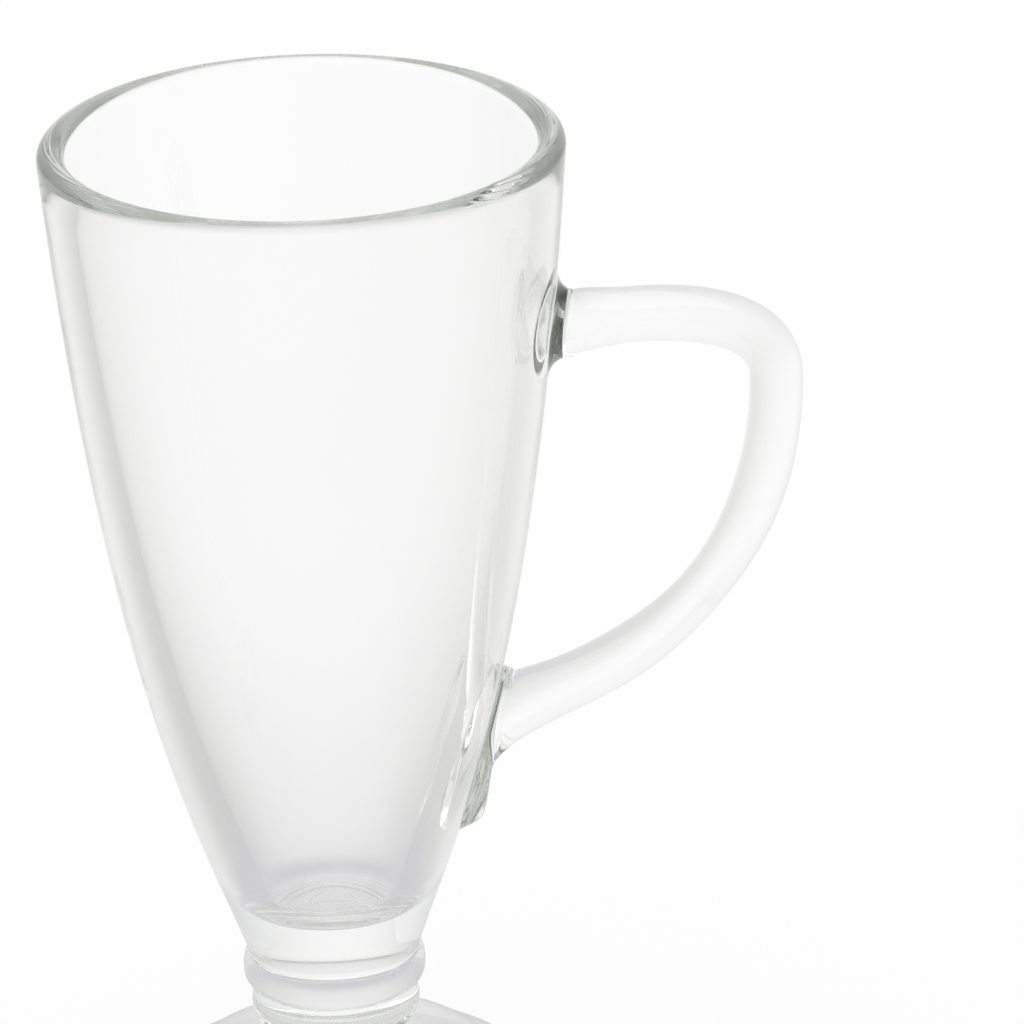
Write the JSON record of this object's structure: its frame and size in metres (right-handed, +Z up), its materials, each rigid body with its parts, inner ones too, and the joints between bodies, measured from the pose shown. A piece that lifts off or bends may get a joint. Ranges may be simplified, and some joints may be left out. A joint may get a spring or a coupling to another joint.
{
  "type": "irish coffee glass mug",
  "caption": "Tall clear glass mug for hot drinks: tapering bowl on a short ringed stem and domed foot, with an ear-shaped side handle.",
  "frame": {"origin": "on the mug's axis, at the plane the foot stands on", "axes": "+Z up along the mug's axis, +X from the axis towards the handle, +Y to the left of the handle seen from above"},
  "size_m": [0.1097, 0.076, 0.158],
  "materials": {
    "bowl_glass": "gloss",
    "handle_glass": "gloss",
    "stem_glass": "gloss"
  },
  "bodies": {
    "root": {"bowl": "bowl_glass", "upper_handle_pad": "handle_glass", "lower_handle_pad": "handle_glass", "handle": "handle_glass", "stem": "stem_glass", "foot": "stem_glass"}
  },
  "joints": []
}
